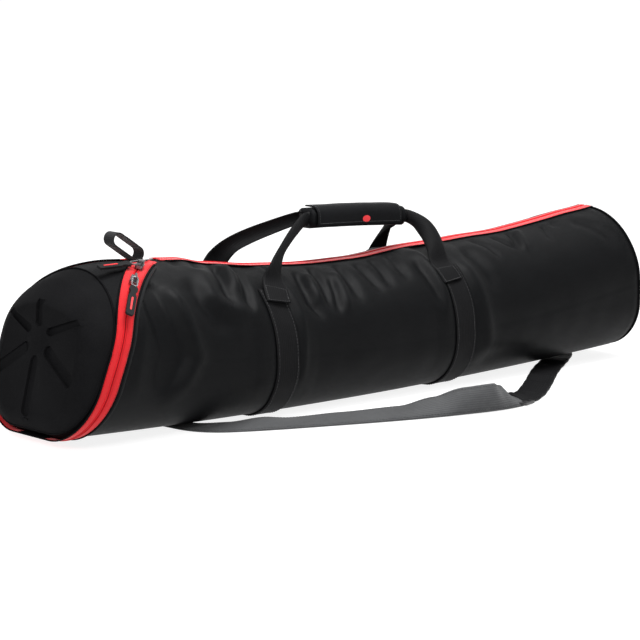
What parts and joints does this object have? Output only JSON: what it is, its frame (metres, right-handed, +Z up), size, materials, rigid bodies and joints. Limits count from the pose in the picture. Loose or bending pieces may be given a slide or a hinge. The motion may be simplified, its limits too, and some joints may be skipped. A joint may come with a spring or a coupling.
{
  "type": "telescope carry case",
  "caption": "Long padded tube bag for a telescope or tripod, with a hinged moulded end cap, red zips, carry handles with a wrap grip and a shoulder strap.",
  "frame": {"origin": "on the ground, on the bag's centreline, under the middle of the front webbing band", "axes": "+X along the bag from the end cap to the far end, +Y to the side away from the loose shoulder strap, +Z up"},
  "size_m": [1.0431, 0.3703, 0.2637],
  "materials": {
    "body_fabric": "satin black woven nylon",
    "foam": "matte closed-cell foam",
    "lining": "matte brushed grey lining",
    "black_binding": "matte woven binding",
    "webbing": "matte ribbed black webbing",
    "strap_webbing": "matte ribbed black webbing",
    "red_tape": "matte woven red zip tape",
    "zip_teeth": "dark coil teeth",
    "moulded_cap": "matte brushed fabric over moulded foam",
    "label": "matte woven label",
    "gunmetal": "polished dark metal",
    "puller_rubber": "matte rubber",
    "red_trim": "gloss red",
    "grip_fabric": "satin padded fabric",
    "black_plastic": "matte black plastic"
  },
  "bodies": {
    "bag": {"body_foam_padding": "foam", "body_lining": "lining", "body_outer_fabric": "body_fabric", "far_end_binding": "black_binding", "far_end_foam": "foam", "far_end_lining": "lining", "far_end_panel": "body_fabric", "front_band": "webbing", "handle_leg_front_far": "webbing", "handle_leg_front_near": "webbing", "handle_leg_rear_far": "webbing", "handle_leg_rear_near": "webbing", "long_zip_tape_far": "red_tape", "long_zip_tape_near": "red_tape", "long_zip_teeth": "zip_teeth", "rear_band": "webbing", "ring_piping": "black_binding", "ring_zip_tape_body": "red_tape", "ring_zip_teeth_body": "zip_teeth", "shoulder_strap": "strap_webbing", "strap_adjuster": "black_plastic", "strap_anchor_front": "webbing", "strap_anchor_rear": "webbing", "strap_end_front": "strap_webbing", "strap_end_rear": "strap_webbing"},
    "end_cap": {"end_cap_shell": "moulded_cap", "end_cap_lining": "lining", "end_cap_gusset": "body_fabric", "ring_zip_tape_lid": "red_tape", "ring_zip_teeth_lid": "zip_teeth", "end_cap_hinge_fold": "black_binding", "pull_loop": "webbing", "pull_loop_label": "label"},
    "lower_slider": {"lower_slider": "gunmetal"},
    "lower_puller": {"lower_puller_link": "gunmetal", "lower_puller_tab": "puller_rubber", "lower_puller_inlay": "red_trim"},
    "upper_slider": {"upper_slider": "gunmetal"},
    "upper_puller": {"upper_puller_link": "gunmetal", "upper_puller_tab": "puller_rubber", "upper_puller_inlay": "red_trim"},
    "carry_grip": {"handle_strap_near": "webbing", "handle_strap_far": "webbing", "grip_wrap": "grip_fabric", "grip_core": "foam"},
    "grip_flap": {"grip_flap": "grip_fabric", "grip_button": "red_trim"}
  },
  "joints": [
    {"name": "end_cap_hinge", "type": "hinge", "parent": "bag", "child": "end_cap", "pos_m": [-0.32035, 0, 0.01082], "axis": [0, -1, 0], "range_deg": [0, 70]},
    {"name": "lower_slider_run", "type": "hinge", "parent": "end_cap", "child": "lower_slider", "pos_m": [-0.1815, -0.04128, 0.08274], "axis": [0.6676, -0.7427, 0.0519], "range_deg": [0, 13.4]},
    {"name": "lower_puller_swing", "type": "hinge", "parent": "lower_slider", "child": "lower_puller", "pos_m": [-0.22126, -0.073, 0.20926], "axis": [-0.808, 0.4014, 0.4313], "range_deg": [0, 130]},
    {"name": "upper_slider_run", "type": "hinge", "parent": "end_cap", "child": "upper_slider", "pos_m": [-0.13857, -0.05581, 0.01002], "axis": [0.6175, -0.7575, 0.2117], "range_deg": [-4.4, 0]},
    {"name": "upper_puller_swing", "type": "hinge", "parent": "upper_slider", "child": "upper_puller", "pos_m": [-0.18803, -0.04149, 0.22159], "axis": [0.0058, 0.9388, 0.3444], "range_deg": [0, 130]},
    {"name": "grip_lift", "type": "slide", "parent": "bag", "child": "carry_grip", "axis": [0, 0, 1], "range_m": [-0.022, 0.02], "deforming": ["handle_leg_front_far", "handle_leg_front_near", "handle_leg_rear_far", "handle_leg_rear_near"]},
    {"name": "grip_flap_hinge", "type": "hinge", "parent": "carry_grip", "child": "grip_flap", "pos_m": [0.2155, 0.007, 0.2579], "axis": [-0.9985, 0, 0.0549], "range_deg": [0, 150]}
  ]
}
